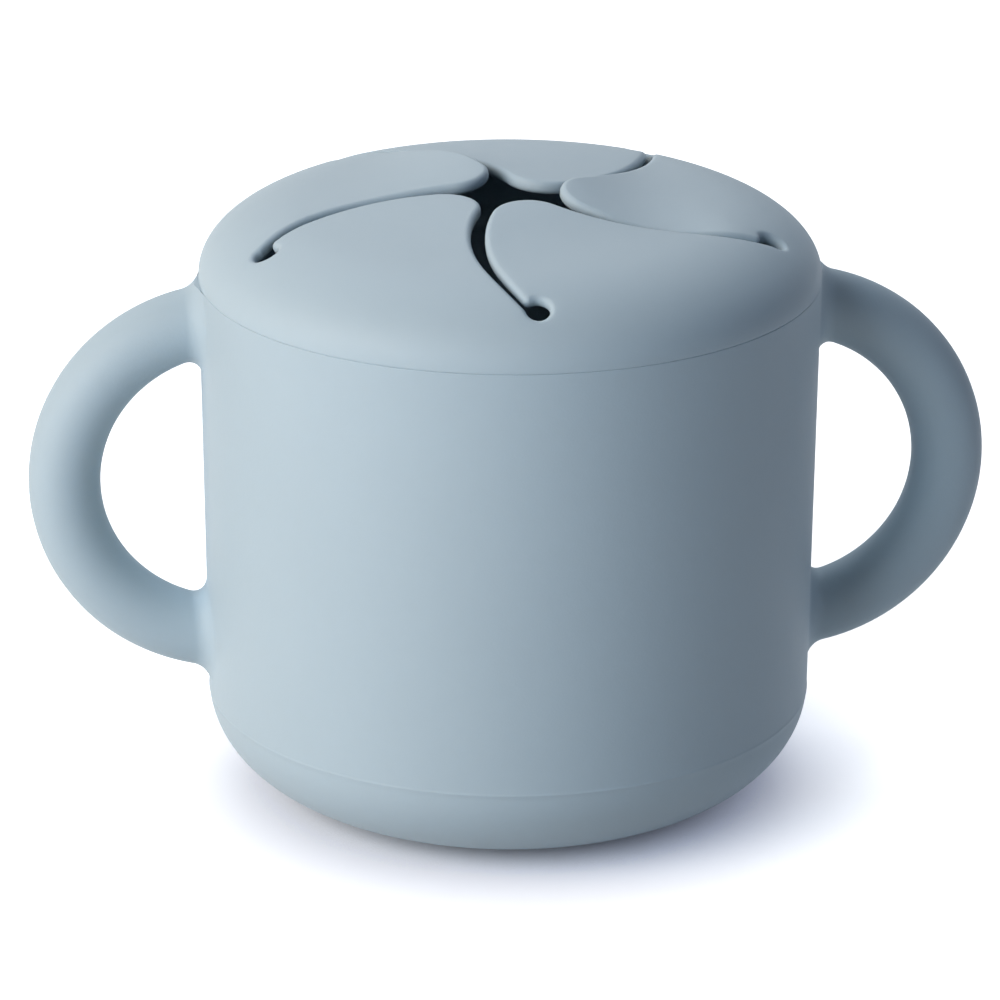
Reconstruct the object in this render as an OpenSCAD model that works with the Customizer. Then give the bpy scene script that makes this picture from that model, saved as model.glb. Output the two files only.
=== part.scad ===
// Two-handled soft silicone snack cup with a push-through lid.
// The lid is one moulding whose top is cut into five petals by five curved slits. Each slit
// ends in a round tear-stop hole, and each petal bends about the line between its two holes.
// Millimetres, +Z up. The origin is the middle of the cup's underside. The handles lie along X.

/* [Cup] */
// Outer radius of the cup at the seam under the lid
seam_r = 44; // [40:0.5:50]
// Draft of the wall: how much less its radius is at the bottom corner than at the seam
wall_draft = 0.7; // [0:0.1:3]
// Height of the seam between cup and lid
seam_z = 76.2; // [72:0.2:100]
// Width of the rounded bottom corner, seen from the side
corner_w = 19.6; // [12:0.2:24]
// Height of the rounded bottom corner
corner_h = 15; // [10:0.5:20]
// Thickness of the cup's wall
wall_t = 2.8; // [2.4:0.1:3.4]
// Thickness of the cup's floor
floor_t = 3.6; // [3:0.1:6]
// Depth of the shallow recess under the floor
foot_recess_h = 0.8; // [0.4:0.1:1.6]
// Radius of the recess under the floor
foot_recess_r = 17; // [10:0.5:20]
// Height of the mould's parting line above the table
parting_z = 14.4; // [12:0.2:20]
// How far the parting line's fine rib stands out of the wall
parting_h = 0.12; // [0.06:0.02:0.3]

/* [Lid] */
// Height of the straight band above the seam, before the shoulder starts
band_h = 0.4; // [0.2:0.1:3]
// Width of the lid's rounded shoulder, seen from the side
shoulder_w = 18.5; // [14:0.5:20]
// Height of the lid's rounded shoulder
shoulder_h = 10; // [8:0.2:14]
// Slope of the dome where it leaves the shoulder, as rise over run
dome_slope = 0.125; // [0.08:0.005:0.16]
// Thickness of the lid's shell and of its petals
shell_t = 1.9; // [1.6:0.1:2.2]
// How far the plug reaches down inside the cup
plug_h = 6.5; // [4:0.5:12]
// Thickness of the plug's wall
plug_t = 1.55; // [1.3:0.05:1.8]
// Clearance between the plug and the inside of the cup
plug_gap = 0.35; // [0.25:0.05:0.5]
// How far each sealing bead stands out of the plug
bead_h = 0.15; // [0.05:0.05:0.15]
// Softening of the edges on both sides of the seam
seam_edge = 0.35; // [0.2:0.05:0.6]

/* [Petals] */
// Distance of the tear-stop holes' centres from the seam's edge, seen from above
hole_inset = 7.3; // [7:0.1:10]
// Radius of a tear-stop hole
hole_r = 2.15; // [2.1:0.05:2.2]
// Sideways bulge of each slit, clockwise from above
slit_bulge = 5.2; // [4:0.1:6]
// Width of a slit at its hole
slit_w_hole = 0.8; // [0.7:0.05:1]
// Width of a slit at the middle of the lid
slit_w_mid = 2.9; // [1.4:0.1:3.2]
// Rounding of a petal's tip
tip_r = 4.8; // [3:0.1:6]
// Clearance around a petal's root
hinge_gap = 0.18; // [0.12:0.02:0.24]
// How far each petal's tip stands up at rest, in degrees
petal_lift = [0, 2.6, 0.5, 0.9, 0.2]; // [0:0.1:4]
// How far the lid is turned on the cup, in degrees
lid_turn = -1; // [-5:0.5:5]

/* [Handles] */
// Radius of a handle's centre line
handle_r = 23.7; // [20:0.1:24]
// How far a handle's arc centre lies inside the wall's outer face
handle_inset = 3.86; // [2:0.02:7]
// Height of a handle's arc centre above the table
handle_z = 47; // [45:0.1:48]
// Thickness of a handle
handle_t = 10.2; // [8:0.1:11]
// Fillet between handle and wall
handle_fillet = 2.5; // [1:0.1:3]

/* [Hidden] */
$fn = 120;
silicone = "#a9bcc8";

petal_count = 5;
petal_turn = 360 / petal_count;
// The first petal lies between the front hole and the right hole.
first_petal_a = 270 + petal_turn / 2 + lid_turn;
corner_steps = 12;
shoulder_steps = 12;
dome_steps = 6;
edge_steps = 18;
tip_steps = 12;
// A length that reaches past every piece, for cutting.
reach = 4 * seam_r;

// ---- Cup profile ----
base_wall_r = seam_r - wall_draft;
corner_r0 = base_wall_r - corner_w;
wall_slope = (seam_r - base_wall_r) / (seam_z - corner_h);
function wall_r(z) = base_wall_r + wall_slope * (z - corner_h);
function corner_pt(a, inset_r, inset_z) =
    [corner_r0 + (corner_w - inset_r) * sin(a), corner_h - (corner_h - inset_z) * cos(a)];
parting_w = 2 * parting_h;
function corner_arc(inset_r, inset_z) =
    [for (i = [0:corner_steps]) corner_pt(90 * i / corner_steps, inset_r, inset_z)];

module cup_outline() {
    polygon(concat([[0, 0]], corner_arc(0, 0), [[seam_r, seam_z], [0, seam_z]]));
}

module cup_body() {
    foot = [[0, foot_recess_h], [foot_recess_r, foot_recess_h], [foot_recess_r + foot_recess_h, 0]];
    rim = [[wall_r(seam_z - seam_edge), seam_z - seam_edge], [seam_r - seam_edge, seam_z],
        [seam_r - wall_t, seam_z]];
    inside = [for (i = [corner_steps:-1:0]) corner_pt(90 * i / corner_steps, wall_t, floor_t)];
    color(silicone) {
        rotate_extrude() polygon(concat(foot, corner_arc(0, 0), rim, inside, [[0, floor_t]]));
        parting_line();
    }
}

// The fine rib that the mould's two halves leave around the bottom corner
module parting_line() {
    parting_a = acos(1 - parting_z / corner_h);
    at = corner_pt(parting_a, 0, 0);
    rotate_extrude() polygon([[at[0] - parting_w, at[1] - parting_w], [at[0] + parting_h, at[1]],
        [at[0] - parting_w, at[1] + parting_w]]);
}

// ---- Handles ----
handle_x = wall_r(handle_z) - handle_inset;
root_dx = wall_r(handle_z + handle_r) - handle_x;
root_a = acos(root_dx / handle_r);
// The flare sinks into the round wall by half of the wall's curve across it.
flare_r = handle_t / 2 + handle_fillet;
flare_sink = (seam_r - sqrt(seam_r * seam_r - flare_r * flare_r)) / 2;

// Trumpet-shaped fillet around a handle's end, with its wide end at the origin, facing -Y
module root_flare() {
    translate([0, -flare_sink, 0]) rotate([-90, 0, 0]) rotate_extrude() difference() {
        translate([0, -handle_t / 2]) square([flare_r, handle_t / 2 + handle_fillet]);
        translate([flare_r, handle_fillet]) circle(handle_fillet);
    }
}

module handle() {
    color(silicone) intersection() {
        difference() {
            translate([handle_x, 0, handle_z]) rotate([90, 0, 0]) {
                rotate([0, 0, -root_a - 8]) rotate_extrude(angle = 2 * (root_a + 8))
                    translate([handle_r, 0]) circle(handle_t / 2);
                rotate([0, 0, root_a]) translate([handle_r, 0, 0]) mirror([0, 1, 0]) root_flare();
                rotate([0, 0, -root_a]) translate([handle_r, 0, 0]) root_flare();
            }
            rotate_extrude() cup_outline();
        }
        // The fillet stops just under the seam, so that the lid lifts clear of it.
        translate([0, -reach / 2, 0]) cube([reach, reach, seam_z - seam_edge]);
    }
}

module handle_right() { handle(); }
module handle_left() { mirror([1, 0, 0]) handle(); }

// ---- Lid shell ----
shoulder_z = seam_z + band_h;
shoulder_r0 = seam_r - shoulder_w;
shoulder_end_a = atan(shoulder_h / (shoulder_w * dome_slope));
dome_r = shoulder_r0 + shoulder_w * cos(shoulder_end_a);
dome_z = shoulder_z + shoulder_h * sin(shoulder_end_a);
plug_r = wall_r(seam_z - plug_h) - wall_t - plug_gap;
plug_in_r = plug_r - plug_t;

function shoulder_pt(a) = [shoulder_r0 + shoulder_w * cos(a), shoulder_z + shoulder_h * sin(a)];
function unit(v) = v / norm(v);
function shoulder_out(a) = unit([cos(a) / shoulder_w, sin(a) / shoulder_h]);
function shoulder_in(a) = shoulder_pt(a) - shell_t * shoulder_out(a);
function dome_pt(r) = [r, dome_z + dome_slope * (dome_r * dome_r - r * r) / (2 * dome_r)];
// Height of the lid's top at a distance from the axis
function top_z(r) = r < dome_r ? dome_pt(r)[1]
    : shoulder_z + shoulder_h * sqrt(1 - pow((r - shoulder_r0) / shoulder_w, 2));

module lid_shell() {
    outer = [for (i = [0:shoulder_steps]) shoulder_pt(shoulder_end_a * i / shoulder_steps)];
    dome = [for (i = [1:dome_steps]) dome_pt(dome_r * (1 - i / dome_steps))];
    under_dome = [for (i = [dome_steps:-1:1]) dome_pt(dome_r * (1 - i / dome_steps)) - [0, shell_t]];
    under = [for (i = [shoulder_steps:-1:0]) let (p = shoulder_in(shoulder_end_a * i / shoulder_steps))
        if (p[0] < plug_in_r - shell_t / 4) p];
    corner_in_z = shoulder_z + shoulder_h / 2;
    rotate_extrude() polygon(concat([[seam_r, seam_z + seam_edge]], outer, dome, under_dome, under,
        [[plug_in_r, corner_in_z], [plug_in_r, seam_z], [seam_r - seam_edge, seam_z]]));
}

// ---- Petals ----
hole_ring_r = seam_r - hole_inset;
chord_d = hole_ring_r * cos(petal_turn / 2);
chord_half = hole_ring_r * sin(petal_turn / 2);
socket_r = hole_r - 0.05;
root_r = socket_r - hinge_gap;
root_end_r = norm([chord_d, chord_half - hole_r]);
// The bending axis runs midway between the shell's top at the chord's middle
// and the shell's underside at the chord's ends.
hinge_z = (top_z(chord_d) + top_z(root_end_r) - 1.07 * shell_t) / 2;
relief_a = 20;

// A slit's centre line is an arc from its hole to the lid's axis. The petals on its two sides end
// on arcs that are turned apart about the hole, so the slit widens towards the middle.
arc_r = (pow(hole_ring_r / 2, 2) + pow(slit_bulge, 2)) / (2 * slit_bulge);
flare_a = asin((slit_w_mid - slit_w_hole) / 2 / hole_ring_r);
function turned(v, a) = [v[0] * cos(a) - v[1] * sin(a), v[0] * sin(a) + v[1] * cos(a)];
function hole_at(a) = turned([hole_ring_r, 0], a);
function arc_centre(a, side) =
    hole_at(a) + turned([-hole_ring_r / 2, arc_r - slit_bulge], a + side * flare_a);

// Outline of a petal that points to +X from the lid's axis
edge_a = arc_centre(-petal_turn / 2, -1);
edge_a_r = arc_r - slit_w_hole / 2;
edge_b = arc_centre(petal_turn / 2, 1);
edge_b_r = arc_r + slit_w_hole / 2;
// The tip's circle touches the first arc from inside and the second from outside.
tip_da = edge_a_r - tip_r;
tip_db = edge_b_r + tip_r;
edge_d = norm(edge_b - edge_a);
tip_along = (tip_da * tip_da - tip_db * tip_db + edge_d * edge_d) / (2 * edge_d);
tip_across = sqrt(tip_da * tip_da - tip_along * tip_along);
edge_dir = (edge_b - edge_a) / edge_d;
tip_at = edge_a + tip_along * edge_dir + tip_across * [-edge_dir[1], edge_dir[0]];
touch_a = edge_a + edge_a_r * unit(tip_at - edge_a);
touch_b = edge_b + edge_b_r * unit(tip_at - edge_b);
function heading(from, to) = atan2(to[1] - from[1], to[0] - from[0]);
// Points of the arc around c that starts towards p and ends towards q, the short way round
function arc_between(c, r, p, q, steps) =
    let (start = heading(c, p), sweep = (heading(c, q) - start + 540) % 360 - 180)
        [for (i = [0:steps]) c + turned([r, 0], start + sweep * i / steps)];

// Where the circle of radius r around c meets the bending line, which lies inside a hole
function on_chord(c, r) = [chord_d, c[1] - sqrt(r * r - pow(chord_d - c[0], 2))];

module petal_outline() {
    polygon(concat(
        arc_between(edge_a, edge_a_r, on_chord(edge_a, edge_a_r), touch_a, edge_steps),
        arc_between(tip_at, tip_r, touch_a, touch_b, tip_steps),
        arc_between(edge_b, edge_b_r, touch_b, on_chord(edge_b, edge_b_r), edge_steps)));
}

module along_hinge(a) {
    rotate([0, 0, a]) translate([chord_d, 0, hinge_z]) children();
}

module tear_holes() {
    for (i = [0:petal_count - 1])
        rotate([0, 0, first_petal_a + petal_turn * (i - 0.5)])
            translate([hole_ring_r, 0, seam_z]) cylinder(h = reach, r = hole_r);
}

// The petal's root is a half round rod along the bending axis.
module petal(i) {
    a = first_petal_a + petal_turn * i;
    color(silicone) along_hinge(a) rotate([0, petal_lift[i], 0]) translate([-chord_d, 0, -hinge_z])
        intersection() {
            rotate([0, 0, -a]) difference() {
                lid_shell();
                tear_holes();
            }
            union() {
                translate([0, 0, seam_z]) linear_extrude(reach) petal_outline();
                translate([chord_d, 0, hinge_z]) intersection() {
                    rotate([90, 0, 0]) cylinder(h = 2 * chord_half, r = root_r, center = true);
                    translate([0, -reach / 2, -reach / 2]) cube(reach);
                }
            }
        }
}

module petal_front_right() { petal(0); }
module petal_right() { petal(1); }
module petal_back() { petal(2); }
module petal_left() { petal(3); }
module petal_front_left() { petal(4); }

// Plug ring with two sealing beads, hanging from the seam flange
module plug_ring() {
    bead_w = 3 * bead_h;
    top = seam_z + shell_t;
    low = seam_z - plug_h;
    rotate_extrude() {
        polygon([[plug_in_r, top], [plug_r, top], [plug_r, low + seam_edge],
            [plug_r - seam_edge, low], [plug_in_r, low]]);
        for (k = [1, 2]) translate([plug_r, seam_z - plug_h * k / 3])
            polygon([[-bead_h, -bead_w], [bead_h, -bead_h / 2], [bead_h, bead_h / 2], [-bead_h, bead_w]]);
    }
}

module lid_ring() {
    color(silicone) {
        difference() {
            lid_shell();
            translate([0, 0, seam_z]) rotate([0, 0, first_petal_a + petal_turn / 2])
                cylinder(h = reach, r = hole_ring_r, $fn = petal_count);
            tear_holes();
            for (i = [0:petal_count - 1]) along_hinge(first_petal_a + petal_turn * i) {
                rotate([90, 0, 0]) cylinder(h = 2 * chord_half, r = socket_r, center = true);
                // Underside relief, so that the petal's root can turn downwards
                rotate([0, -relief_a, 0]) translate([-chord_d, -chord_half, -3 * socket_r])
                    cube([chord_d, 2 * chord_half, 3 * socket_r]);
            }
        }
        plug_ring();
    }
}

cup_body();
handle_left();
handle_right();
lid_ring();
petal_front_right();
petal_right();
petal_back();
petal_left();
petal_front_left();
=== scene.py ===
import math

import bmesh
import bpy
from mathutils import Matrix, Vector
from mathutils.geometry import delaunay_2d_cdt


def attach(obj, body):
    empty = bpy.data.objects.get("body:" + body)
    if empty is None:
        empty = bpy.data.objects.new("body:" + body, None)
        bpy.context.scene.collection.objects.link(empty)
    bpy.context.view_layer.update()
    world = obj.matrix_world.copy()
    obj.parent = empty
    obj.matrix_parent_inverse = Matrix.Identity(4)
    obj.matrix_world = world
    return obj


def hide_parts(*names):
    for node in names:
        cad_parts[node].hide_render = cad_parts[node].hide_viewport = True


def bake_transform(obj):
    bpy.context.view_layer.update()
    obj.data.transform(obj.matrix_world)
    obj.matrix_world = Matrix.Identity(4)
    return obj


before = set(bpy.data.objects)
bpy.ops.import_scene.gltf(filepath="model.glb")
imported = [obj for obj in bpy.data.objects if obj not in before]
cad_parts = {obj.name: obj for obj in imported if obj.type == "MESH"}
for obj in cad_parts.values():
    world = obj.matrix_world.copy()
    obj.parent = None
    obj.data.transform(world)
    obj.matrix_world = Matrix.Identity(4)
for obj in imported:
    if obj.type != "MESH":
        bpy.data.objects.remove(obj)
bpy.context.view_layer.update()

# ---- Camera ----
# A long lens stands in front of the cup, a little to its left, and looks slightly down on the lid.
# Sizes are in millimetres all through, and MM turns them into metres.
MM = 0.001
camera_distance = 800
camera_rise = 0.3594
camera_turn = math.radians(-6.5)
camera_roll = 0.0044
camera_side = -1.2913
camera_aim_z = 41.81
camera_sensor = 36
camera_lens = 200.74
camera_clip = 10

spin = Matrix.Rotation(camera_turn, 3, "Z")
camera_at = spin @ Vector(
    (0, -camera_distance * math.cos(camera_rise), camera_distance * math.sin(camera_rise) + camera_aim_z)
)
camera_aim = spin @ Vector((camera_side, 0, camera_aim_z))
ahead = (camera_aim - camera_at).normalized()
right = ahead.cross(Vector((0, 0, 1))).normalized()
above = right.cross(ahead)
rolled_right = math.cos(camera_roll) * right + math.sin(camera_roll) * above
rolled_above = math.cos(camera_roll) * above - math.sin(camera_roll) * right
camera_data = bpy.data.cameras.new("camera")
camera_data.sensor_width = camera_sensor
camera_data.lens = camera_lens
camera_data.clip_end = camera_clip
camera = bpy.data.objects.new("camera", camera_data)
turn_matrix = Matrix((rolled_right, rolled_above, -ahead)).transposed()
camera.matrix_world = Matrix.Translation(camera_at * MM) @ turn_matrix.to_4x4()
bpy.context.collection.objects.link(camera)
bpy.context.scene.camera = camera


# ---- Cup with its two handles ----
# One soft moulding of powder blue silicone: a thick round wall on a rounded bottom, and a ring
# handle on each side that runs into the wall through a fillet. The two halves of the mould leave
# a fine raised line round the bottom corner.
seam_r = 44
base_wall_r = 43.3
seam_z = 76.2
corner_w = 19.6
corner_h = 15
wall_t = 2.8
floor_t = 3.6
foot_recess_h = 0.8
foot_recess_r = 17
foot_edge = 0.4
foot_edge_w = 1.1
# Radii of the flat rows inside the foot's ring, on it, and on the cup's floor
recess_rows = (4, 8, 12, 15)
foot_rows = (20, 22)
floor_rows = (18, 12, 6, 0)
parting_z = 14.4
parting_h = 0.06
parting_w = 0.24
parting_shape = ((-1, 0), (-0.5, 0.85), (0, 1), (0.5, 0.85), (1, 0))
seam_edge = 0.14
rim_z = seam_z - seam_edge
cup_columns = 192
corner_end = 84
corner_steps = 30
middle_steps = 20
inside_steps = 24
inner_corner_steps = 22
corner_r0 = base_wall_r - corner_w
wall_slope = (seam_r - base_wall_r) / (seam_z - corner_h)


def wall_r(z):
    if z >= corner_h:
        return base_wall_r + wall_slope * (z - corner_h)
    return corner_r0 + corner_w * math.sqrt(1 - ((corner_h - z) / corner_h) ** 2)


def evenly(start, end, steps):
    return [start + (end - start) * i / steps for i in range(steps + 1)]


def quarter(centre_r, centre_z, radius, start, end, steps):
    points = []
    for degrees in evenly(start, end, steps):
        a = math.radians(degrees)
        points.append((centre_r + radius * math.cos(a), centre_z + radius * math.sin(a)))
    return points


class Wire:
    """An output of a node, so that sums on it read like sums on numbers."""

    def __init__(self, tree, socket=None):
        self.tree = tree
        self.socket = socket

    def node(self, kind, settings=None, sockets=None, output=0):
        made = self.tree.nodes.new(kind)
        for name, value in (settings or {}).items():
            setattr(made, name, value)
        for key, value in (sockets or {}).items():
            if isinstance(value, Wire):
                self.tree.links.new(value.socket, made.inputs[key])
            else:
                made.inputs[key].default_value = value
        return Wire(self.tree, made.outputs[output] if len(made.outputs) else None)

    def also(self, output):
        """Another output of the same node."""
        return Wire(self.tree, self.socket.node.outputs[output])

    def math(self, operation, *values):
        return self.node("ShaderNodeMath", {"operation": operation}, dict(enumerate(values)))

    def __add__(self, other):
        return self.math("ADD", self, other)

    def __radd__(self, other):
        return self.math("ADD", other, self)

    def __sub__(self, other):
        return self.math("SUBTRACT", self, other)

    def __rsub__(self, other):
        return self.math("SUBTRACT", other, self)

    def __mul__(self, other):
        return self.math("MULTIPLY", self, other)

    def __rmul__(self, other):
        return self.math("MULTIPLY", other, self)

    def __truediv__(self, other):
        return self.math("DIVIDE", self, other)

    def __rtruediv__(self, other):
        return self.math("DIVIDE", other, self)


cloud_scale = 28
speck_scale = 420
grain_scale = 2600
noise_roughness = 0.55
cloud_share = 0.7
tint_spread = 0.045
satin = 0.5
satin_spread = 0.16
dimple_strength = 0.16
dimple_depth = 0.00012
grain_relief = 0.7
speck_relief = 1.6
silicone_ior = 1.41
silicone_gloss = 0.42
sheen = 0.08
sheen_roughness = 0.5


def silicone(name, colour, seed):
    """Matte moulded silicone: a faint cloudiness, a fine satin grain and a soft sheen."""
    material = bpy.data.materials.new(name)
    material.use_nodes = True
    tree = material.node_tree
    tree.nodes.clear()
    net = Wire(tree)
    place = net.node("ShaderNodeTexCoord", output="Object")
    here = net.node("ShaderNodeMapping", None, {"Vector": place, "Location": (seed, seed, 0)})

    def noise(scale, detail):
        sockets = {"Vector": here, "Scale": scale, "Detail": detail, "Roughness": noise_roughness}
        return net.node("ShaderNodeTexNoise", None, sockets)

    cloud = noise(cloud_scale, 2)
    speck = noise(speck_scale, 3)
    grain = noise(grain_scale, 2)
    tint = cloud_share * cloud + (1 - cloud_share) * speck
    deep = tuple(c * (1 - tint_spread) for c in colour) + (1,)
    pale = tuple(c * (1 + tint_spread) for c in colour) + (1,)
    skin = net.node(
        "ShaderNodeMix", {"data_type": "RGBA"}, {"Factor": tint, 6: deep, 7: pale}, output=2
    )
    dimples = net.node(
        "ShaderNodeBump",
        None,
        {
            "Strength": dimple_strength,
            "Distance": dimple_depth,
            "Height": grain_relief * grain + speck_relief * speck,
        },
    )
    shader = net.node(
        "ShaderNodeBsdfPrincipled",
        None,
        {
            "Base Color": skin,
            "Roughness": satin + satin_spread * speck,
            "Normal": dimples,
            "IOR": silicone_ior,
            "Specular IOR Level": silicone_gloss,
            "Sheen Weight": sheen,
            "Sheen Roughness": sheen_roughness,
        },
    )
    net.node("ShaderNodeOutputMaterial", None, {"Surface": shader})
    return material


merge_distance = 2e-7
sharp_from = math.radians(38)


def finished(name, points, faces, material):
    """A smooth object from points in millimetres, merged, closed and facing outwards."""
    mesh = bpy.data.meshes.new(name)
    mesh.from_pydata([[c * MM for c in p] for p in points], [], faces)
    return tidied(name, mesh, material)


def tidied(name, mesh, material):
    """An object of a mesh, once its double points are merged and its faces turned outwards."""
    mesh_edit = bmesh.new()
    mesh_edit.from_mesh(mesh)
    bmesh.ops.remove_doubles(mesh_edit, verts=mesh_edit.verts, dist=merge_distance)
    loose = [v for v in mesh_edit.verts if not v.link_faces]
    bmesh.ops.delete(mesh_edit, geom=loose, context="VERTS")
    bmesh.ops.recalc_face_normals(mesh_edit, faces=mesh_edit.faces)
    mesh_edit.to_mesh(mesh)
    mesh_edit.free()
    mesh.materials.clear()
    mesh.materials.append(material)
    mesh.shade_smooth()
    mesh.set_sharp_from_angle(angle=sharp_from)
    made = bpy.data.objects.new(name, mesh)
    bpy.context.collection.objects.link(made)
    return made


cup_blue = (0.418, 0.520, 0.585)
cup_silicone = silicone("cup_silicone_skin", cup_blue, 0)

handle_r = 23.7
handle_inset = 3.86
handle_z = 47
handle_x = wall_r(handle_z) - handle_inset
tube_r = 5.1
fillet = 2.5
patch_cells = 12
lower_patch = (14.8, 31.8)
upper_patch = (61.4, rim_z)
root_rows = 12
join_rows = 3
tube_rows = 72
halvings = 44
# A root's fillet ends between these angles along the ring, from its outermost point.
root_from = 0.8
root_to = 1.7
ring_points = 4 * patch_cells
half_patch = patch_cells // 2

# The outline of the cup's section runs from the middle of its underside round to its inside.
below = [(0, foot_recess_h)]
below += [(r, foot_recess_h) for r in recess_rows]
below += quarter(foot_recess_r, foot_edge, foot_edge, 90, 20, 3)
below += quarter(foot_recess_r + foot_edge_w, foot_edge, foot_edge, 200, 270, 4)
below += [(r, 0) for r in foot_rows]
for degrees in evenly(0, corner_end, corner_steps):
    a = math.radians(degrees)
    below.append((corner_r0 + corner_w * math.sin(a), corner_h - corner_h * math.cos(a)))
for step, out in parting_shape:
    z = parting_z + step * parting_w
    below.append((wall_r(z) + out * parting_h, z))
lower_rows = [(wall_r(z), z) for z in evenly(*lower_patch, patch_cells)]
middle_rows = [(wall_r(z), z) for z in evenly(lower_patch[1], upper_patch[0], middle_steps)[1:-1]]
upper_rows = [(wall_r(z), z) for z in evenly(*upper_patch, patch_cells)]
lip = quarter(seam_r - seam_edge, rim_z, seam_edge, 0, 90, 6)[1:]
inner_r = seam_r - wall_t
lip += quarter(inner_r + seam_edge, rim_z, seam_edge, 90, 180, 5)
inside = [(wall_r(z) - wall_t, z) for z in evenly(rim_z - 1, corner_h, inside_steps)]
inner_corner_w = corner_w - wall_t
inner_corner_h = corner_h - floor_t
for degrees in evenly(90, 0, inner_corner_steps)[1:]:
    a = math.radians(degrees)
    inside.append((corner_r0 + inner_corner_w * math.sin(a), corner_h - inner_corner_h * math.cos(a)))
inside += [(r, floor_t) for r in floor_rows]
outline = below + lower_rows + middle_rows + upper_rows + lip + inside
lower_start = len(below)
upper_start = lower_start + len(lower_rows) + len(middle_rows)


def patch_of(column, row):
    """Whether a cell of the wall lies where a handle's root takes its place."""
    turned = (column + half_patch) % (cup_columns // 2)
    in_rows = [start <= row < start + patch_cells for start in (lower_start, upper_start)]
    return turned < patch_cells and any(in_rows)


cup_points = []
cup_faces = []
cup_index = {}
for row, (r, z) in enumerate(outline):
    for column in range(cup_columns):
        around = 2 * math.pi * column / cup_columns
        cup_index[row, column] = len(cup_points)
        cup_points.append((r * math.cos(around), r * math.sin(around), z))
for row in range(len(outline) - 1):
    for column in range(cup_columns):
        if patch_of(column, row):
            continue
        after = (column + 1) % cup_columns
        low_here, low_after = cup_index[row, column], cup_index[row, after]
        high_here, high_after = cup_index[row + 1, column], cup_index[row + 1, after]
        if outline[row][0] == 0:
            cup_faces.append((low_here, high_after, high_here))
        elif outline[row + 1][0] == 0:
            cup_faces.append((low_here, low_after, high_after))
        else:
            cup_faces.append((low_here, low_after, high_after, high_here))


def rod_point(path_a, around_a, radius):
    """A point on the right handle's rod, from its place along the ring and around the rod."""
    ring = handle_r + radius * math.sin(around_a)
    return (
        handle_x + ring * math.cos(path_a),
        radius * math.cos(around_a),
        handle_z + ring * math.sin(path_a),
    )


def off_wall(p):
    """How far a point stands out from the cup's wall."""
    return math.hypot(p[0], p[1]) - wall_r(p[2])


def between(low, high, is_low):
    """Where a condition that holds at the low end stops holding."""
    for _ in range(halvings):
        middle = (low + high) / 2
        if is_low(middle):
            low = middle
        else:
            high = middle
    return (low + high) / 2


def root_path(side, around_a, fillet_a):
    """How far along the ring the root's fillet reaches a given height over the wall."""
    radius = tube_r + fillet * (1 - math.sin(fillet_a))
    height = fillet * (1 - math.cos(fillet_a))

    def is_off(t):
        return off_wall(rod_point(side * t, around_a, radius)) > height

    reach = between(root_from, root_to, is_off)
    return side * reach, radius


def root_line(side, around_a):
    """One line of the root's fillet, from the wall to the plain rod. It stops under the seam."""

    def at(fillet_a):
        path_a, radius = root_path(side, around_a, fillet_a)
        return rod_point(path_a, around_a, radius)

    first = 0
    if at(0)[2] > rim_z:
        first = between(0, math.pi / 2, lambda a: at(a)[2] > rim_z)
    return [at(a) for a in evenly(first, math.pi / 2, root_rows)]


def patch_corner(k, start, side):
    """Row and column of the wall's point that the k-th line of a root is joined to."""
    k = (k + half_patch) % ring_points - half_patch
    if k <= half_patch:
        up, across = k, half_patch
    elif k <= 3 * half_patch:
        up, across = half_patch, 2 * half_patch - k
    elif k <= 5 * half_patch:
        up, across = 4 * half_patch - k, -half_patch
    else:
        up, across = -half_patch, k - 6 * half_patch
    return start + half_patch + side * up, across


def handle_lines(k):
    """All points of one line along the handle, from the lower patch to the upper one."""
    around_a = 2 * math.pi * k / ring_points
    halves = []
    for side, start in ((-1, lower_start), (1, upper_start)):
        root = root_line(side, around_a)
        row, across = patch_corner(k, start, side)
        edge_a, edge_z = 2 * math.pi * across / cup_columns, outline[row][1]
        land = root[0]
        land_a, land_off = math.atan2(land[1], land[0]), off_wall(land)
        joined = []
        for t in evenly(0, 1, join_rows)[1:-1]:
            turn = edge_a + (land_a - edge_a) * t
            z = edge_z + (land[2] - edge_z) * t
            r = wall_r(z) + land_off * t
            joined.append((r * math.cos(turn), r * math.sin(turn), z))
        halves.append(joined + root)
    ends = [root_path(side, around_a, math.pi / 2)[0] for side in (-1, 1)]
    rod = [rod_point(t, around_a, tube_r) for t in evenly(*ends, tube_rows)[1:-1]]
    return halves[0] + rod + halves[1][::-1]


lines = [handle_lines(k) for k in range(ring_points)]
for mirrored in (1, -1):
    base = len(cup_points)
    per_line = len(lines[0])
    for line in lines:
        cup_points += [(mirrored * x, y, z) for x, y, z in line]

    def wall_point(k, start, side):
        row, across = patch_corner(k, start, side)
        column = across if mirrored == 1 else cup_columns // 2 - across
        return cup_index[row, column % cup_columns]

    for k in range(ring_points):
        after = (k + 1) % ring_points
        first = [wall_point(k, lower_start, -1)] + [base + k * per_line + i for i in range(per_line)]
        first.append(wall_point(k, upper_start, 1))
        second = [wall_point(after, lower_start, -1)]
        second += [base + after * per_line + i for i in range(per_line)]
        second.append(wall_point(after, upper_start, 1))
        for i in range(len(first) - 1):
            cup_faces.append((first[i], first[i + 1], second[i + 1], second[i]))

cup = finished("cup_moulding", cup_points, cup_faces, cup_silicone)
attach(cup, "cup")
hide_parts("cup_body", "handle_left", "handle_right")


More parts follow.
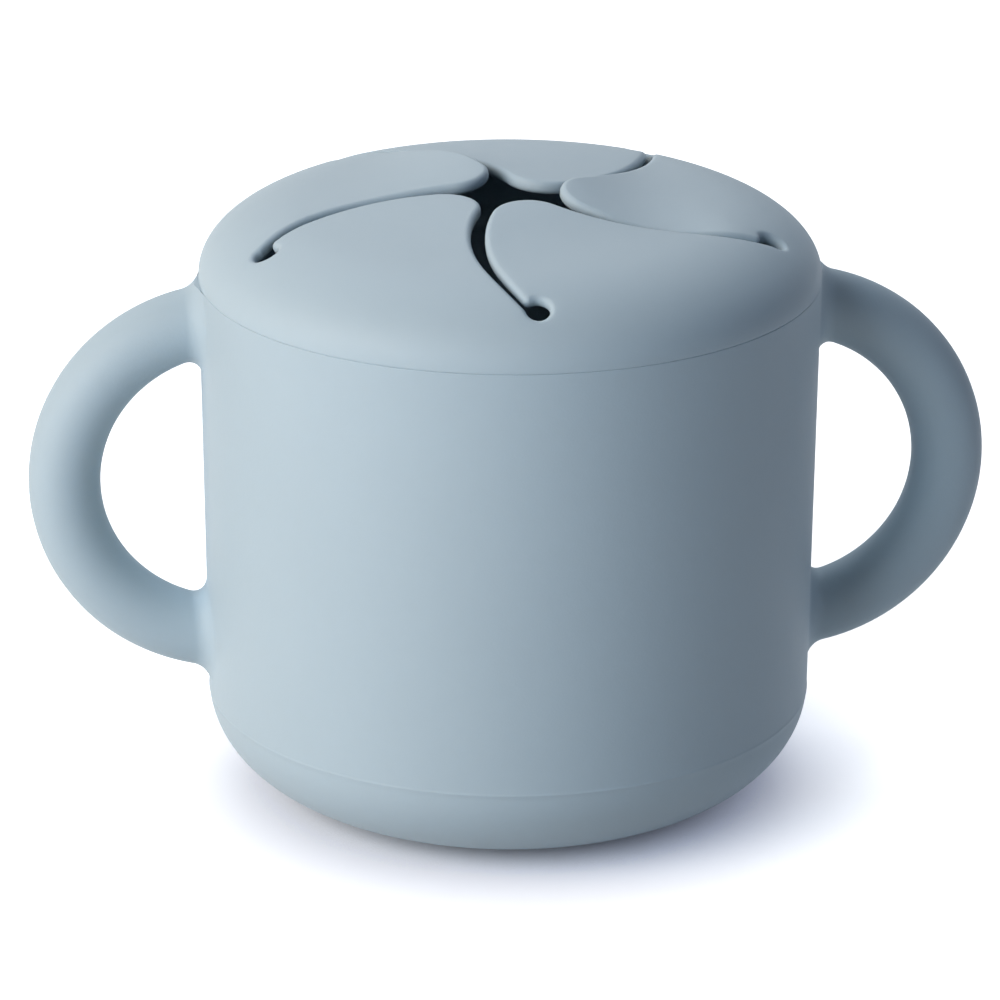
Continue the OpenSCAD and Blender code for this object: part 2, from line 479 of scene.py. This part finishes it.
# ---- Lid ring ----
# The fixed part of the one-piece silicone lid: a rounded shoulder over the seam, a plug with two
# sealing beads that holds it in the cup, and the rims of the five tear-stop holes.
band_h = 0.4
shoulder_w = 18.5
shoulder_h = 10
dome_slope = 0.125
shell_t = 1.9
edge_round = 0.8
plug_h = 6.5
plug_t = 1.55
plug_gap = 0.35
bead_h = 0.15
bead_shape = ((1.6, 0), (0.9, 0.55), (0, 1), (-0.9, 0.55), (-1.6, 0))
bead_count = 2
flange_round = 0.3
plug_round = 0.4
# The plug's inside wall runs from this far over its low end to this far over the shoulder's foot.
plug_lead = 1.5
plug_top = 3.5
# The slits' star sits a little off the lid's middle, and each slit ends beside its hole's middle.
star_at = Vector((0.1, -1.1))
hole_ring_r = 37.2
hole_r = 1.7
slit_aside = 1.3
slit_bulge = 5.8
slit_w_hole = 0.8
slit_w_mid = 2.9
slit_mouth_r = 0.9
tip_r = 5.7
petal_count = 5
petal_turn = math.radians(72)
first_petal_a = math.radians(305)
# The petals start at this distance from the lid's axis, just inside the holes.
petal_from = 26.2
petal_columns = 40
lid_flat_r = 41.2
lid_columns = 240
# The top is covered with points this far apart.
lid_grain = 1.1
slit_steps = 14
mouth_steps = 6
hole_steps = 36
beside_steps = 3
beside_gap = 0.12
round_steps = 5
shoulder_steps = 26
nearly_nothing = 1e-6

shoulder_z = seam_z + band_h
shoulder_r0 = seam_r - shoulder_w
shoulder_end_a = math.atan(shoulder_h / (shoulder_w * dome_slope))
dome_r = shoulder_r0 + shoulder_w * math.cos(shoulder_end_a)
dome_z = shoulder_z + shoulder_h * math.sin(shoulder_end_a)
plug_r = wall_r(seam_z - plug_h) - wall_t - plug_gap
plug_in_r = plug_r - plug_t

# The lid is the same silicone as the cup; its colour is a little lighter only as painted light on the
# lid's top.
lid_blue_painted_lighter = (0.428, 0.530, 0.594)
lid_silicone = silicone("lid_silicone_skin", lid_blue_painted_lighter, 0.4)


def lid_point(x, y, depth):
    """A point under the lid's top, as deep as the depth says, square to the surface."""
    r = math.hypot(x, y)
    if r < dome_r:
        z = dome_z + dome_slope * (dome_r**2 - r**2) / (2 * dome_r)
        slope = dome_slope * r / dome_r
    else:
        across = (r - shoulder_r0) / shoulder_w
        fall = math.sqrt(1 - across**2)
        z = shoulder_z + shoulder_h * fall
        slope = shoulder_h * across / (shoulder_w * fall)
    steep = 1 / math.hypot(1, slope)
    inward = depth * slope * steep / max(r, nearly_nothing)
    return (x - x * inward, y - y * inward, z - depth * steep)


def turned(v, angle):
    """A flat vector turned about the lid's axis."""
    along, aside = math.cos(angle), math.sin(angle)
    return Vector((v[0] * along - v[1] * aside, v[0] * aside + v[1] * along))


# A slit is a shallow arc from its hole towards the lid's axis, and the edges of the two petals
# beside it are arcs that open a little towards the middle.
slit_reach = math.hypot(hole_ring_r, slit_aside)
slit_end_a = math.atan(slit_aside / hole_ring_r)
arc_r = ((slit_reach / 2) ** 2 + slit_bulge**2) / (2 * slit_bulge)
flare_a = math.asin((slit_w_mid - slit_w_hole) / 2 / slit_reach)


def edge_centre(hole_a, side):
    """Centre of the arc that a slit's edge follows, for the slit to the hole at an angle."""
    end_a = hole_a - slit_end_a
    along = Vector((-slit_reach / 2, arc_r - slit_bulge))
    return turned((slit_reach, 0), end_a) + turned(along, end_a + side * flare_a)


def meet(c1, r1, c2, r2, near):
    """Where two circles cross, at the crossing that lies nearer to a given point."""
    apart = (c2 - c1).length
    along = (r1 * r1 - r2 * r2 + apart * apart) / (2 * apart)
    across = math.sqrt(r1 * r1 - along * along)
    way = (c2 - c1) / apart
    found = [c1 + along * way + s * across * Vector((-way.y, way.x)) for s in (1, -1)]
    return min(found, key=lambda p: (p - near).length)


def heading(centre, p):
    """Angle at which a point lies about a centre."""
    return math.atan2(p[1] - centre[1], p[0] - centre[0])


def sweep(centre, p, q):
    """Start and end angle of the arc from p to q, the short way round."""
    start = heading(centre, p)
    turn = (heading(centre, q) - start + 3 * math.pi) % (2 * math.pi) - math.pi
    return start, start + turn


def arc(centre, p, q, steps, outward, long_way=False):
    """Points from p to q with the direction that leads out of the silicone at each."""
    start, end = sweep(centre, p, q)
    if long_way:
        end -= math.copysign(2 * math.pi, end - start)
    radius = (p - centre).length
    found = []
    for a in evenly(start, end, steps):
        way = Vector((math.cos(a), math.sin(a)))
        found.append((centre + radius * way, outward * way))
    return found


# In a petal's own view it points to +X. Its lower edge bulges out and its upper edge curves in.
half_turn = petal_turn / 2
low_centre, low_r = edge_centre(-half_turn, -1), arc_r - slit_w_hole / 2
high_centre, high_r = edge_centre(half_turn, 1), arc_r + slit_w_hole / 2


def at_start(centre, radius):
    """Where a petal's edge starts at its root."""
    return Vector((petal_from, centre.y - math.sqrt(radius**2 - (petal_from - centre.x) ** 2)))


low_start = at_start(low_centre, low_r)
high_start = at_start(high_centre, high_r)
hole = turned((hole_ring_r, 0), half_turn)
next_low_centre = turned(low_centre, petal_turn)


def mouth(edge_c, edge_r, side):
    """The rounded lip between a slit's edge and its hole: its centre and its two ends."""
    near = hole * (1 - hole_r * 2 / hole_ring_r)
    lip = meet(hole, hole_r + slit_mouth_r, edge_c, edge_r + side * slit_mouth_r, near)
    on_edge = edge_c + (lip - edge_c).normalized() * edge_r
    on_hole = hole + (lip - hole).normalized() * hole_r
    return lip, on_edge, on_hole


lip_1, edge_end_1, hole_end_1 = mouth(high_centre, high_r, 1)
lip_2, edge_end_2, hole_end_2 = mouth(next_low_centre, low_r, -1)
next_low_start = turned(low_start, petal_turn)

# The outline of a hole with both edges of its slit
keyhole = arc(high_centre, high_start, edge_end_1, slit_steps, -1)
keyhole += arc(lip_1, edge_end_1, hole_end_1, mouth_steps, 1)[1:]
keyhole += arc(hole, hole_end_1, hole_end_2, hole_steps, -1, long_way=True)[1:]
keyhole += arc(lip_2, hole_end_2, edge_end_2, mouth_steps, 1)[1:]
keyhole += arc(next_low_centre, edge_end_2, next_low_start, beside_steps, 1)[1:]


def inset(point, way):
    """A point of the flat top, where the edge's rounding begins."""
    return point - edge_round * way


low_inset = inset(low_start, (low_start - low_centre) / low_r)
high_inset = inset(high_start, (high_centre - high_start) / high_r)
root = [low_inset + (high_inset - low_inset) * t for t in evenly(0, 1, petal_columns)]
contour = []
beside_root = []
for i in range(petal_count):
    turn = first_petal_a + petal_turn * i
    contour += [(star_at + turned(p, turn), Vector((0, 0))) for p in root[1:-1]]
    contour += [(star_at + turned(p, turn), turned(way, turn)) for p, way in keyhole]
    outwards = Vector((beside_gap, 0))
    beside_root += [star_at + turned(p + outwards, turn) for p in root[1:-1]]

# The lid's top between the petals and the shoulder, as one even skin
inner = [inset(p, way) for p, way in contour]
outer = []
for i in range(lid_columns):
    a = 2 * math.pi * i / lid_columns
    outer.append(Vector((lid_flat_r * math.cos(a), lid_flat_r * math.sin(a))))


def within(p, loop):
    """Whether a point lies inside a closed line."""
    inside_loop = False
    before = loop[-1]
    for q in loop:
        if (q.y > p.y) != (before.y > p.y):
            if p.x < (before.x - q.x) * (p.y - q.y) / (before.y - q.y) + q.x:
                inside_loop = not inside_loop
        before = q
    return inside_loop


field = []
span = int(lid_flat_r / lid_grain) + 1
for i in range(-2 * span, 2 * span):
    for j in range(-2 * span, 2 * span):
        p = Vector(((i + 0.5 * (j % 2)) * lid_grain, j * lid_grain * math.sqrt(3) / 2))
        if p.length < lid_flat_r - lid_grain / 2 and not within(p, inner):
            if min((p - q).length for q in inner) > lid_grain / 2:
                field.append(p)
spread = inner + outer + [p for p in beside_root if not within(p, inner)] + field
loops = [(i, (i + 1) % len(inner)) for i in range(len(inner))]
loops += [(len(inner) + i, len(inner) + (i + 1) % lid_columns) for i in range(lid_columns)]
flat, _, triangles, sources, _, _ = delaunay_2d_cdt(spread, loops, [], 0, nearly_nothing)
of_input = {}
for place, came_from in enumerate(sources):
    for source in came_from:
        of_input[source] = place
ring_top = []
for triangle in triangles:
    middle = sum((flat[i] for i in triangle), Vector((0, 0))) / 3
    if middle.length < lid_flat_r and not within(middle, inner):
        ring_top.append(tuple(triangle))

lid_points = [lid_point(p.x, p.y, 0) for p in flat]
below_top = len(lid_points)
lid_points += [lid_point(p.x, p.y, shell_t) for p in flat]
lid_faces = ring_top + [tuple(below_top + i for i in reversed(t)) for t in ring_top]

# The rounded edge, from the top over its side to the underside
edge_profile = []
for degrees in evenly(0, 90, round_steps):
    a = math.radians(degrees)
    edge_profile.append((edge_round * math.sin(a), edge_round * (1 - math.cos(a))))
edge_profile += [(out, shell_t - depth) for out, depth in reversed(edge_profile)]
edge_profile = edge_profile[1:-1]
edge_start = len(lid_points)
for (_, way), q in zip(contour, inner):
    for out, depth in edge_profile:
        p = q + out * way
        lid_points.append(lid_point(p.x, p.y, depth))
steps = len(edge_profile)
for i in range(len(contour)):
    after = (i + 1) % len(contour)
    first = [of_input[i]] + [edge_start + i * steps + j for j in range(steps)]
    first.append(below_top + of_input[i])
    second = [of_input[after]] + [edge_start + after * steps + j for j in range(steps)]
    second.append(below_top + of_input[after])
    for j in range(steps + 1):
        lid_faces.append((first[j], first[j + 1], second[j + 1], second[j]))

# Shoulder, seam edge, flange, plug with its beads, and back up inside to the underside
rim_profile = []
flat_a = math.acos((lid_flat_r - shoulder_r0) / shoulder_w)
for a in evenly(flat_a, 0, shoulder_steps)[1:]:
    rim_profile.append((shoulder_r0 + shoulder_w * math.cos(a), shoulder_z + shoulder_h * math.sin(a)))
rim_profile += quarter(seam_r - seam_edge, seam_z + seam_edge, seam_edge, 0, -90, 6)
rim_profile.append((plug_r + flange_round, seam_z))
rim_profile += quarter(plug_r + flange_round, seam_z - flange_round, flange_round, 100, 170, 3)
for bead in range(1, bead_count + 1):
    z = seam_z - plug_h * bead / (bead_count + 1)
    for step, out in bead_shape:
        rim_profile.append((plug_r + out * bead_h, z + step * bead_h * 2))
plug_low = seam_z - plug_h
rim_profile += quarter(plug_r - plug_round, plug_low + plug_round, plug_round, 0, -90, 4)
rim_profile += quarter(plug_in_r + plug_round, plug_low + plug_round, plug_round, -90, -180, 4)
rim_profile += [(plug_in_r, z) for z in evenly(plug_low + plug_lead, shoulder_z + plug_top, 6)]
rim_start = len(lid_points)
for r, z in rim_profile:
    for i in range(lid_columns):
        a = 2 * math.pi * i / lid_columns
        lid_points.append((r * math.cos(a), r * math.sin(a), z))
outer_ids = [of_input[len(inner) + i] for i in range(lid_columns)]
rows = [outer_ids]
for j in range(len(rim_profile)):
    rows.append([rim_start + j * lid_columns + i for i in range(lid_columns)])
rows.append([below_top + i for i in outer_ids])
for before, row in zip(rows, rows[1:]):
    for i in range(lid_columns):
        after = (i + 1) % lid_columns
        lid_faces.append((before[i], before[after], row[after], row[i]))

lid_ring = finished("lid_ring_moulding", lid_points, lid_faces, lid_silicone)
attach(lid_ring, "lid")
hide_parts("lid_ring")


# ---- Petals ----
# Five curved flaps of the same moulding, cut apart by the slits. Each one grows out of the lid
# just inside its two holes, bends there, and ends in a rounded tip near the middle. At rest they
# don't lie quite level, because the cut silicone has relaxed.
petals = ["front_right", "right", "back", "left", "front_left"]
# Degrees by which each tip stands up, leans about the petal's length, and swings sideways
petal_lift = [3.4, 6.3, 0.9, 1.7, 1.0]
petal_twist = [1, 10, 3, -5, 0]
petal_swing = [0, 0, 0, 3, 0]
petal_rows = 56
# Rows stand closer at the root and sweep round into the tip's arc towards the end.
row_crowding = 1.25
tip_sweep = 7
edge_guess = Vector((9, -4))
first_cell = 0.0001
least_fall = 0.01
merge_m = 1e-6
# The narrow strip at a petal's joint only has its ends worked out below, and its rest shape bends over a
# wider strip.
bend_from = 25.6
bend_width = 7
lift_width = 19
chord_d = 29.69
hinge_z = 84.66

tip = meet(low_centre, low_r - tip_r, high_centre, high_r + tip_r, edge_guess)
low_touch = low_centre + low_r * (tip - low_centre).normalized()
high_touch = high_centre + high_r * (tip - high_centre).normalized()

petal_tree = bpy.data.node_groups.new("petal", "GeometryNodeTree")
petal_tree.interface.new_socket("Mesh", in_out="OUTPUT", socket_type="NodeSocketGeometry")
petal_inputs = {}
for label, kind in (
    ("Thickness", "Float"),
    ("Edge Rounding", "Float"),
    ("Lift From", "Float"),
    ("Lift Width", "Float"),
    ("Lift", "Float"),
    ("Twist", "Float"),
    ("Swing", "Float"),
    ("Turn", "Float"),
    ("Aside", "Vector"),
    ("Rows", "Int"),
    ("Columns", "Int"),
    ("Silicone", "Material"),
):
    made = petal_tree.interface.new_socket(label, in_out="INPUT", socket_type=f"NodeSocket{kind}")
    petal_inputs[label] = made.identifier
net = Wire(petal_tree)
given = net.node("NodeGroupInput")


def field_arc(centre, radius, ends, t):
    """A place on an arc, and the direction from its centre, for a share of its length."""
    a = ends[0] + (ends[1] - ends[0]) * t
    way_x, way_y = net.math("COSINE", a), net.math("SINE", a)
    return (centre.x + radius * way_x, centre.y + radius * way_y), (way_x, way_y)


def mixed(a, b, t):
    """A place between two places."""
    return [p + (q - p) * t for p, q in zip(a, b)]


def at_least(value, limit):
    return net.math("MAXIMUM", value, limit)


# A grid whose rows run across the petal, from its root to its tip
sheet = net.node(
    "GeometryNodeMeshGrid",
    None,
    {
        "Size X": 1,
        "Size Y": 1,
        "Vertices X": given.also("Rows"),
        "Vertices Y": given.also("Columns"),
    },
)
spot = net.node("ShaderNodeSeparateXYZ", None, {0: net.node("GeometryNodeInputPosition")})
row_t = spot + 0.5
across = spot.also("Y") + 0.5
along = net.math("POWER", at_least(row_t, 0), row_crowding)
rounding = given.also("Edge Rounding")
high_ends = sweep(high_centre, high_start, high_touch)
low_ends = sweep(low_centre, low_start, low_touch)
tip_ends = sweep(tip, high_touch, low_touch)
high_at, high_way = field_arc(high_centre, high_r + rounding, high_ends, along)
low_at, low_way = field_arc(low_centre, low_r - rounding, low_ends, along)
tip_at, tip_way = field_arc(tip, tip_r - rounding, tip_ends, across)
tip_high, _ = field_arc(high_centre, high_r + rounding, high_ends, 1)
tip_low, _ = field_arc(low_centre, low_r - rounding, low_ends, 1)
plain = mixed(high_at, low_at, across)
plain_tip = mixed(tip_high, tip_low, across)
near_tip = net.math("POWER", at_least(row_t, 0), tip_sweep)
plan_x, plan_y = [p + (t - q) * near_tip for p, t, q in zip(plain, tip_at, plain_tip)]

is_tip = net.math("GREATER_THAN", row_t, 1 - first_cell)
is_high = net.math("LESS_THAN", across, first_cell)
is_low = net.math("GREATER_THAN", across, 1 - first_cell)
way = []
for t, high, low in zip(tip_way, high_way, low_way):
    sides = low * is_low - high * is_high
    way.append(t * is_tip + sides * (1 - is_tip))


def stored(mesh, label, value, selection=True):
    """The mesh with a vector kept on its points under a name."""
    settings = {"data_type": "FLOAT_VECTOR", "domain": "POINT"}
    sockets = {"Geometry": mesh, "Selection": selection, "Name": label, "Value": value}
    return net.node("GeometryNodeStoreNamedAttribute", settings, sockets)


def vector(x, y, z):
    return net.node("ShaderNodeCombineXYZ", None, {0: x, 1: y, 2: z})


sheet = stored(sheet, "plan", vector(plan_x, plan_y, 0.0))
sheet = stored(sheet, "way", vector(way[0], way[1], 0.0))
thickness = given.also("Thickness")
top = stored(sheet, "edge", (0, 0, 0))
under = stored(sheet, "edge", vector(0.0, thickness, 0.0))
under = net.node("GeometryNodeFlipFaces", None, {"Mesh": under})

# The rounded edge is drawn out of the sheet's border, whose edges have a face on one side only,
# one narrow strip at a time.
neighbours = net.node("GeometryNodeInputMeshEdgeNeighbors")
border = net.math("LESS_THAN", neighbours, 1.5)
quarter_up = [math.radians(d) for d in evenly(0, 90, round_steps)[1:]]
strips = [(math.sin(a), rounding * (1 - math.cos(a))) for a in quarter_up]
strips += [(math.sin(a), thickness - rounding * (1 - math.cos(a))) for a in reversed(quarter_up)]
strips.append((0, thickness))
for out, depth in strips:
    drawn = net.node(
        "GeometryNodeExtrudeMesh",
        {"mode": "EDGES"},
        {"Mesh": top, "Selection": border, "Offset Scale": 0.0},
    )
    border = drawn.also("Top")
    top = stored(drawn, "edge", vector(rounding * out, depth, 0.0), border)

whole = net.node("GeometryNodeJoinGeometry", None, {"Geometry": top})
petal_tree.links.new(under.socket, whole.socket.node.inputs["Geometry"])


def read(label):
    """The first two numbers of a vector that is kept on the points."""
    settings = {"data_type": "FLOAT_VECTOR"}
    made = net.node("GeometryNodeInputNamedAttribute", settings, {"Name": label})
    parts = net.node("ShaderNodeSeparateXYZ", None, {0: made})
    return parts, parts.also("Y")


plan, ways, edge = read("plan"), read("way"), read("edge")
aside = net.node("ShaderNodeSeparateXYZ", None, {0: given.also("Aside")})
x = plan[0] + ways[0] * edge[0] + aside
y = plan[1] + ways[1] * edge[0] + aside.also("Y")
depth = edge[1]
r = net.math("SQRT", x * x + y * y)
over = net.math("GREATER_THAN", r, dome_r)
share = at_least(r - shoulder_r0, 0) / shoulder_w
fall = net.math("SQRT", at_least(1 - share * share, least_fall))
dome_top = dome_z + dome_slope * (dome_r**2 - r * r) / (2 * dome_r)
shoulder_top = shoulder_z + shoulder_h * fall
top_z = dome_top + (shoulder_top - dome_top) * over
dome_fall = r * (dome_slope / dome_r)
shoulder_fall = share * shoulder_h / (fall * shoulder_w)
slope = dome_fall + (shoulder_fall - dome_fall) * over
steep = 1 / net.math("SQRT", slope * slope + 1)
inward = depth * slope * steep / r
laid = vector(x - x * inward, y - y * inward, top_z - depth * steep)
bent = (given.also("Lift From") - x) / given.also("Lift Width")
bent = net.math("MINIMUM", at_least(bent, 0), 1)
bent = bent * bent * (3 - 2 * bent)
raised = net.node(
    "ShaderNodeVectorRotate",
    {"rotation_type": "Y_AXIS"},
    {"Vector": laid, "Center": (chord_d, 0, hinge_z), "Angle": given.also("Lift") * bent},
)
raised = net.node(
    "ShaderNodeVectorRotate",
    {"rotation_type": "X_AXIS"},
    {"Vector": raised, "Center": (0, 0, hinge_z), "Angle": given.also("Twist") * bent},
)
raised = net.node(
    "ShaderNodeVectorRotate",
    {"rotation_type": "Z_AXIS"},
    {"Vector": raised, "Center": (chord_d, 0, 0), "Angle": given.also("Swing") * bent},
)
placed = net.node(
    "ShaderNodeVectorRotate",
    {"rotation_type": "Z_AXIS"},
    {"Vector": raised, "Center": (0, 0, 0), "Angle": given.also("Turn")},
)
scaled = net.node("ShaderNodeVectorMath", {"operation": "SCALE"}, {"Vector": placed, "Scale": MM})
whole = net.node("GeometryNodeSetPosition", None, {"Geometry": whole, "Position": scaled})
whole = net.node("GeometryNodeMergeByDistance", None, {"Geometry": whole, "Distance": merge_m})
whole = net.node("GeometryNodeRealizeInstances", None, {"Geometry": whole})
whole = net.node(
    "GeometryNodeSetMaterial", None, {"Geometry": whole, "Material": given.also("Silicone")}
)
net.node("NodeGroupOutput", None, {"Mesh": whole})

rest_shapes = zip(petals, petal_lift, petal_twist, petal_swing)
for i, (name, lift, twist, swing) in enumerate(rest_shapes):
    turn = first_petal_a + petal_turn * i
    carrier = bpy.data.objects.new("carrier", bpy.data.meshes.new("carrier"))
    bpy.context.collection.objects.link(carrier)
    grown = carrier.modifiers.new("petal", "NODES")
    grown.node_group = petal_tree
    for label, value in (
        ("Thickness", float(shell_t)),
        ("Edge Rounding", float(edge_round)),
        ("Lift From", float(bend_from)),
        ("Lift Width", float(lift_width)),
        ("Lift", math.radians(lift)),
        ("Twist", math.radians(twist)),
        ("Swing", math.radians(swing)),
        ("Turn", turn),
        ("Aside", (*turned(star_at, -turn), 0.0)),
        ("Rows", petal_rows),
        ("Columns", petal_columns + 1),
        ("Silicone", lid_silicone),
    ):
        grown[petal_inputs[label]] = value
    evaluated = carrier.evaluated_get(bpy.context.evaluated_depsgraph_get())
    mesh = bpy.data.meshes.new_from_object(evaluated)
    bpy.data.objects.remove(carrier)
    for label in ("plan", "way", "edge"):
        mesh.attributes.remove(mesh.attributes[label])
    petal = tidied(f"petal_{name}_moulding", mesh, lid_silicone)
    start = turned((bend_from, 0), turn) * MM
    end = turned((bend_from - bend_width, 0), turn) * MM
    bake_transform(petal)
    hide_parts(f"petal_{name}")


# ---- Table and light ----
# A plain white table that keeps the cup's shadow. A broad soft light falls from the left, weaker
# ones come from behind and from the right, and the room adds a little from everywhere.
floor_half = 3.0
floor_grey = 0.72
floor_white = 0.7
# What the camera sees of the table also glows, and near the cup's foot that glow fades into a painted
# contact shadow.
floor_glow = 0.95
floor_tint = (0.98, 0.985, 1, 1)
# Bluer colour, reach and samples of the painted contact shadow round the cup's foot
shadow_tint = (1.15, 1.1, 0.92)
painted_shadow_reach = 0.021
painted_shadow_samples = 4
floor_mesh = bpy.data.meshes.new("floor")
floor_corners = [(-floor_half, -floor_half, 0), (floor_half, -floor_half, 0)]
floor_corners += [(floor_half, floor_half, 0), (-floor_half, floor_half, 0)]
floor_mesh.from_pydata(floor_corners, [], [(0, 1, 2, 3)])
floor = bpy.data.objects.new("floor", floor_mesh)
bpy.context.collection.objects.link(floor)
floor_material = bpy.data.materials.new("white_table")
floor_material.use_nodes = True
floor_material.node_tree.nodes.clear()


def seen_directly(net):
    """One for a ray from the camera, or for what shows in gloss or through glass."""
    rays = net.node("ShaderNodeLightPath")
    mirrored = net.math("MAXIMUM", rays.also("Is Glossy Ray"), rays.also("Is Transmission Ray"))
    return net.math("MAXIMUM", rays.also("Is Camera Ray"), mirrored)


def blend_colours(net, factor, plain, shown):
    """One colour where the factor is nothing, and another where it is one."""
    return net.node(
        "ShaderNodeMix", {"data_type": "RGBA"}, {"Factor": factor, 6: plain, 7: shown}, output=2
    )


net = Wire(floor_material.node_tree)
seen = seen_directly(net)
paper = blend_colours(net, seen, (floor_grey,) * 3 + (1,), (floor_white,) * 3 + (1,))
# Painted contact shadow: the glow darkens where the cup is close over the table
painted_contact_shadow = net.node(
    "ShaderNodeAmbientOcclusion",
    {"samples": painted_shadow_samples},
    {"Color": floor_tint, "Distance": painted_shadow_reach},
)
painted_contact_shadow = net.node("ShaderNodeVectorMath", {"operation": "POWER"}, {0: painted_contact_shadow, 1: shadow_tint})
glow_with_painted_shadow = blend_colours(net, seen, (0, 0, 0, 1), painted_contact_shadow)
table = net.node(
    "ShaderNodeBsdfPrincipled",
    None,
    {
        "Base Color": paper,
        "Roughness": 1.0,
        "Specular IOR Level": 0.0,
        "Emission Color": glow_with_painted_shadow,
        "Emission Strength": floor_glow,
    },
)
net.node("ShaderNodeOutputMaterial", None, {"Surface": table})
floor_mesh.materials.append(floor_material)

lamp_aim_z = 0.04
room_light = 0.02
room_tint = (1, 1, 1, 1)
world = bpy.data.worlds.new("room")
world.use_nodes = True
bpy.context.scene.world = world
world.node_tree.nodes.clear()
net = Wire(world.node_tree)
strength = room_light + (1 - room_light) * seen_directly(net)
back = net.node("ShaderNodeBackground", None, {"Color": room_tint, "Strength": strength})
net.node("ShaderNodeOutputWorld", None, {"Surface": back})


def area_light(name, azimuth, elevation, distance, size, power, colour):
    """A round lamp that faces the cup, turned from straight in front by its azimuth."""
    lamp = bpy.data.lights.new(name, "AREA")
    lamp.shape = "DISK"
    lamp.size = size
    lamp.energy = power
    lamp.color = colour
    made = bpy.data.objects.new(name, lamp)
    a, e = math.radians(azimuth), math.radians(elevation)
    way = Vector((math.sin(a) * math.cos(e), -math.cos(a) * math.cos(e), math.sin(e)))
    aim = Vector((0, 0, lamp_aim_z))
    facing = way.to_track_quat("Z", "Y").to_matrix().to_4x4()
    made.matrix_world = Matrix.Translation(aim + distance * way) @ facing
    bpy.context.collection.objects.link(made)


area_light(
    "key", azimuth=-55, elevation=24, distance=1.1, size=0.9, power=11, colour=(0.74, 0.87, 1)
)
area_light(
    "warm", azimuth=-74, elevation=24, distance=1.1, size=0.9, power=5.2, colour=(1, 0.61, 0.25)
)
area_light(
    "back", azimuth=178, elevation=50, distance=1.2, size=1, power=6.4, colour=(0.82, 0.9, 0.98)
)
area_light(
    "right", azimuth=70, elevation=30, distance=1.2, size=1, power=1.2, colour=(0.4, 0.6, 1)
)

view = bpy.context.scene.view_settings
view.view_transform = "Standard"
